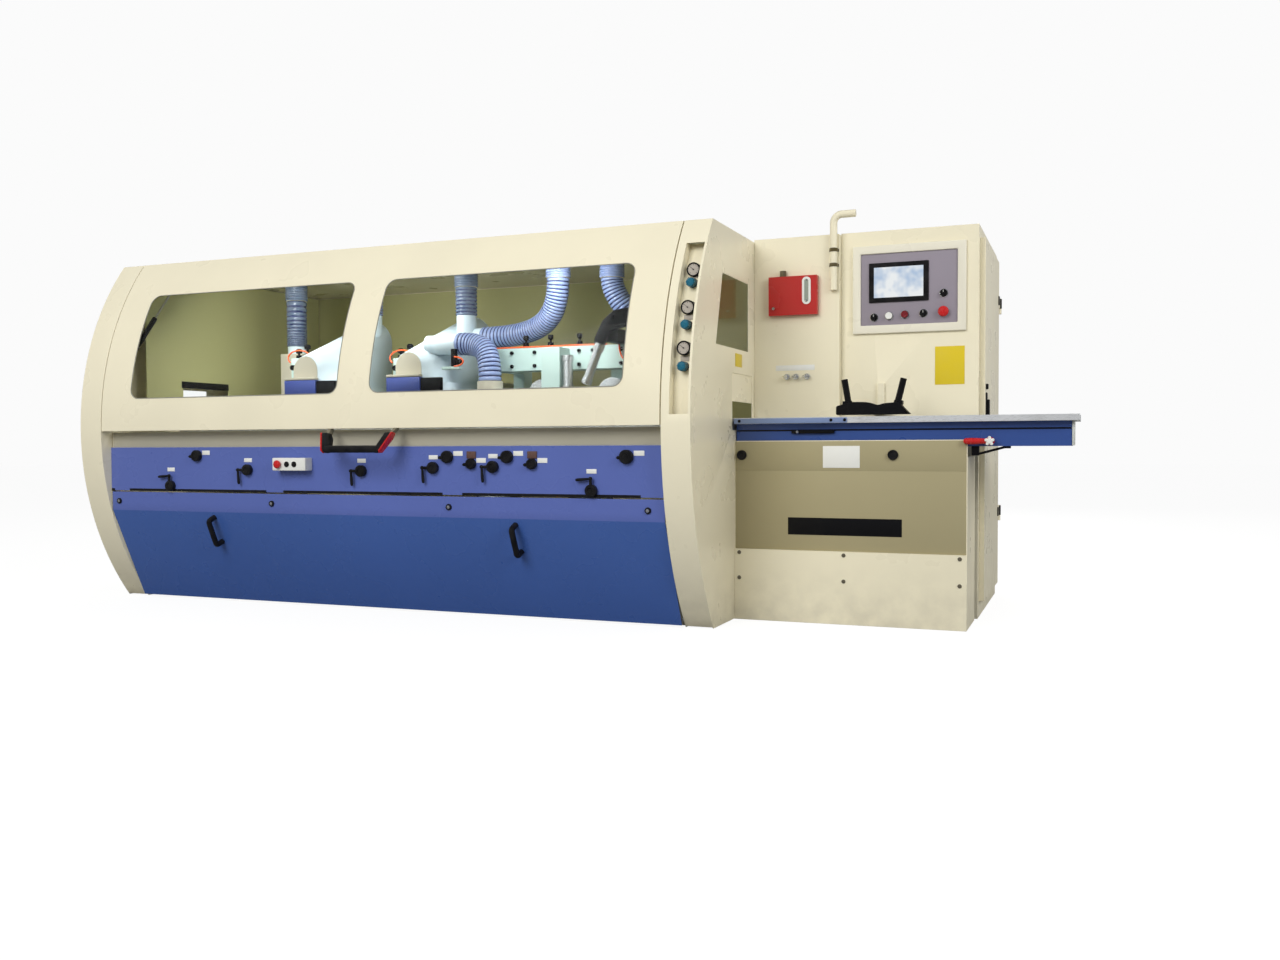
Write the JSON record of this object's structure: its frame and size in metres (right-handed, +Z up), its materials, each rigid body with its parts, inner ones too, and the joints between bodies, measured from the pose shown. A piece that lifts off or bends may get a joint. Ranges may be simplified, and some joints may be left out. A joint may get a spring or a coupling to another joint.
{
  "type": "four sided moulder",
  "caption": "Long woodworking moulder with a curved lifting hood with windows, a blue control front, an infeed table, a switch cabinet and an operator screen.",
  "frame": {"origin": "centre of the machine's box, on the floor", "axes": "+X towards the infeed end, +Y towards the rear, +Z up"},
  "size_m": [4.477, 1.878, 1.752],
  "materials": {
    "cream": "semi-gloss cream paint",
    "blue": "semi-gloss blue paint",
    "steel": "ground steel",
    "iron": "ground cast iron",
    "mint": "pale green paint",
    "pale": "pale blue paint",
    "black": "black plastic",
    "black_metal": "black paint",
    "hose": "translucent grey hose",
    "orange": "orange tube",
    "red_paint": "red paint",
    "red": "red plastic",
    "white": "white plastic",
    "dark_red": "dark red plastic",
    "teal": "teal plastic",
    "grey": "grey film on metal",
    "motor": "cast aluminium",
    "glass": "clear pane"
  },
  "bodies": {
    "machine": {"base_frame": "cream", "bed_table": "iron", "left_end_cap": "cream", "right_end_cap": "cream", "end_window": "glass", "rear_cover": "cream", "roof_cover": "cream", "control_panel": "blue", "position_dials": "black", "pressure_gauges": "black", "button_box": "white", "feed_beam": "mint", "press_cylinders": "steel", "air_lines": "orange", "dust_hoods": "pale", "dust_hoses": "hose", "spindle_housings": "blue", "spindle_motors": "motor", "infeed_base": "cream", "feed_housing": "cream", "electrical_cabinet": "cream", "cabinet_front": "cream", "oil_tank": "red_paint", "operator_panel": "grey"},
    "hood": {"hood_shell": "cream", "hood_windows": "glass", "hood_handle": "black"},
    "barrels": {"strut_barrels": "black_metal"},
    "rods": {"strut_rods": "steel"},
    "cover": {"front_cover": "blue", "cover_handles": "black"},
    "table": {"infeed_table": "steel", "table_beam": "blue"},
    "lift_lever": {"table_lever": "red"},
    "door": {"cabinet_door": "cream"},
    "press_shoe": {"hold_down": "black_metal"},
    "lever_1": {"clamp_lever_1": "black_metal"},
    "lever_2": {"clamp_lever_2": "black_metal"},
    "lever_3": {"clamp_lever_3": "black_metal"},
    "lever_4": {"clamp_lever_4": "black_metal"},
    "lever_5": {"clamp_lever_5": "black_metal"},
    "lever_6": {"clamp_lever_6": "black_metal"},
    "bottom_spindle_1_rotor": {"bottom_spindle_1": "steel"},
    "right_spindle_rotor": {"right_spindle": "steel"},
    "left_spindle_rotor": {"left_spindle": "steel"},
    "top_spindle_1_rotor": {"top_spindle_1": "steel"},
    "top_spindle_2_rotor": {"top_spindle_2": "steel"},
    "bottom_spindle_2_rotor": {"bottom_spindle_2": "steel"},
    "roller_1": {"feed_roller_1": "steel"},
    "roller_2": {"feed_roller_2": "steel"},
    "regulator_1": {"regulator_knob_1": "teal"},
    "regulator_2": {"regulator_knob_2": "teal"},
    "regulator_3": {"regulator_knob_3": "teal"},
    "emergency_stop_cap": {"emergency_stop": "red"},
    "start_button_cap": {"start_button": "white"},
    "stop_button_cap": {"stop_button": "dark_red"},
    "mode_knob_cap": {"mode_knob": "black"},
    "speed_knob_cap": {"speed_knob": "black"},
    "power_knob_cap": {"power_knob": "black"},
    "box_stop_cap": {"box_stop": "red"}
  },
  "joints": [
    {"name": "hood_hinge", "type": "hinge", "parent": "machine", "child": "hood", "pos_m": [-0.6785, -0.261, 1.652], "axis": [-1, 0, 0], "range_deg": [0, 60]},
    {"name": "strut_swing", "type": "hinge", "parent": "machine", "child": "barrels", "pos_m": [-0.6785, -0.771, 1.15], "axis": [1, 0, 0], "range_deg": [0, 9.49]},
    {"name": "strut_stroke", "type": "slide", "parent": "barrels", "child": "rods", "axis": [0, 0.6092, 0.793], "range_m": [0, 0.19095]},
    {"name": "cover_lift_off", "type": "slide", "parent": "machine", "child": "cover", "axis": [0, -1, 0], "range_m": [0, 0.6]},
    {"name": "table_lift", "type": "slide", "parent": "machine", "child": "table", "axis": [0, 0, 1], "range_m": [0, 0.01]},
    {"name": "table_lever_turn", "type": "hinge", "parent": "table", "child": "lift_lever", "pos_m": [1.9125, -0.301, 0.751], "axis": [0, 1, 0], "range_deg": [0, 40]},
    {"name": "door_hinge", "type": "hinge", "parent": "machine", "child": "door", "pos_m": [1.8505, 0.915, 0.8], "axis": [0, 0, 1], "range_deg": [0, 110]},
    {"name": "hold_down_lift", "type": "slide", "parent": "machine", "child": "press_shoe", "axis": [0, 0, 1], "range_m": [0, 0.05]},
    {"name": "lever_1_turn", "type": "hinge", "parent": "machine", "child": "lever_1", "pos_m": [-1.7325, -0.797, 0.55899], "axis": [0, 1, 0], "range_deg": [0, 30]},
    {"name": "lever_2_turn", "type": "hinge", "parent": "machine", "child": "lever_2", "pos_m": [-1.27844, -0.797, 0.63607], "axis": [0, 1, 0], "range_deg": [0, 30]},
    {"name": "lever_3_turn", "type": "hinge", "parent": "machine", "child": "lever_3", "pos_m": [-0.65955, -0.797, 0.63401], "axis": [0, 1, 0], "range_deg": [0, 30]},
    {"name": "lever_4_turn", "type": "hinge", "parent": "machine", "child": "lever_4", "pos_m": [-0.29662, -0.797, 0.64898], "axis": [0, 1, 0], "range_deg": [0, 30]},
    {"name": "lever_5_turn", "type": "hinge", "parent": "machine", "child": "lever_5", "pos_m": [-0.00956, -0.797, 0.6539], "axis": [0, 1, 0], "range_deg": [0, 30]},
    {"name": "lever_6_turn", "type": "hinge", "parent": "machine", "child": "lever_6", "pos_m": [0.43641, -0.797, 0.56001], "axis": [0, 1, 0], "range_deg": [0, 30]},
    {"name": "bottom_spindle_1_spin", "type": "hinge", "parent": "machine", "child": "bottom_spindle_1_rotor", "pos_m": [0.42148, -0.121, 0.792], "axis": [0, 1, 0], "continuous": true},
    {"name": "right_spindle_spin", "type": "hinge", "parent": "machine", "child": "right_spindle_rotor", "pos_m": [0.04144, 0.06, 0.8], "axis": [0, 0, 1], "continuous": true},
    {"name": "left_spindle_spin", "type": "hinge", "parent": "machine", "child": "left_spindle_rotor", "pos_m": [-0.27858, -0.263, 0.8], "axis": [0, 0, 1], "continuous": true},
    {"name": "top_spindle_1_spin", "type": "hinge", "parent": "machine", "child": "top_spindle_1_rotor", "pos_m": [-0.66857, -0.121, 0.975], "axis": [0, 1, 0], "continuous": true},
    {"name": "top_spindle_2_spin", "type": "hinge", "parent": "machine", "child": "top_spindle_2_rotor", "pos_m": [-1.26849, -0.121, 0.975], "axis": [0, 1, 0], "continuous": true},
    {"name": "bottom_spindle_2_spin", "type": "hinge", "parent": "machine", "child": "bottom_spindle_2_rotor", "pos_m": [-1.72846, -0.121, 0.792], "axis": [0, 1, 0], "continuous": true},
    {"name": "roller_1_spin", "type": "hinge", "parent": "machine", "child": "roller_1", "pos_m": [0.23146, -0.081, 0.983], "axis": [0, 1, 0], "continuous": true},
    {"name": "roller_2_spin", "type": "hinge", "parent": "machine", "child": "roller_2", "pos_m": [-0.12837, -0.081, 0.983], "axis": [0, 1, 0], "continuous": true},
    {"name": "regulator_1_turn", "type": "hinge", "parent": "machine", "child": "regulator_1", "pos_m": [0.8275, -0.71257, 1.374], "axis": [0, 1, 0], "range_deg": [0, 270]},
    {"name": "regulator_2_turn", "type": "hinge", "parent": "machine", "child": "regulator_2", "pos_m": [0.8275, -0.77822, 1.204], "axis": [0, 1, 0], "range_deg": [0, 270]},
    {"name": "regulator_3_turn", "type": "hinge", "parent": "machine", "child": "regulator_3", "pos_m": [0.8275, -0.81715, 1.041], "axis": [0, 1, 0], "range_deg": [0, 270]},
    {"name": "emergency_stop_press", "type": "slide", "parent": "machine", "child": "emergency_stop_cap", "axis": [0, 1, 0], "range_m": [0, 0.005], "stiffness_N_per_m": 600},
    {"name": "start_button_press", "type": "slide", "parent": "machine", "child": "start_button_cap", "axis": [0, 1, 0], "range_m": [0, 0.005], "stiffness_N_per_m": 600},
    {"name": "stop_button_press", "type": "slide", "parent": "machine", "child": "stop_button_cap", "axis": [0, 1, 0], "range_m": [0, 0.005], "stiffness_N_per_m": 600},
    {"name": "mode_knob_turn", "type": "hinge", "parent": "machine", "child": "mode_knob_cap", "pos_m": [1.40048, 0.039, 1.28908], "axis": [0, 1, 0], "range_deg": [-45, 45]},
    {"name": "speed_knob_turn", "type": "hinge", "parent": "machine", "child": "speed_knob_cap", "pos_m": [1.60968, 0.039, 1.29798], "axis": [0, 1, 0], "range_deg": [-135, 135]},
    {"name": "power_knob_turn", "type": "hinge", "parent": "machine", "child": "power_knob_cap", "pos_m": [1.69352, 0.039, 1.37995], "axis": [0, 1, 0], "range_deg": [0, 90]},
    {"name": "box_stop_press", "type": "slide", "parent": "machine", "child": "box_stop_cap", "axis": [0, 1, 0], "range_m": [0, 0.005], "stiffness_N_per_m": 600}
  ],
  "couplings": [
    {"joint": "strut_swing", "follows": "hood_hinge", "ratio": 0.15823},
    {"joint": "strut_stroke", "follows": "hood_hinge", "m_per_rad": 0.18234},
    {"joint": "table_lever_turn", "follows": "table_lift", "rad_per_m": 69.813},
    {"joint": "roller_2_spin", "follows": "roller_1_spin", "ratio": 1}
  ]
}
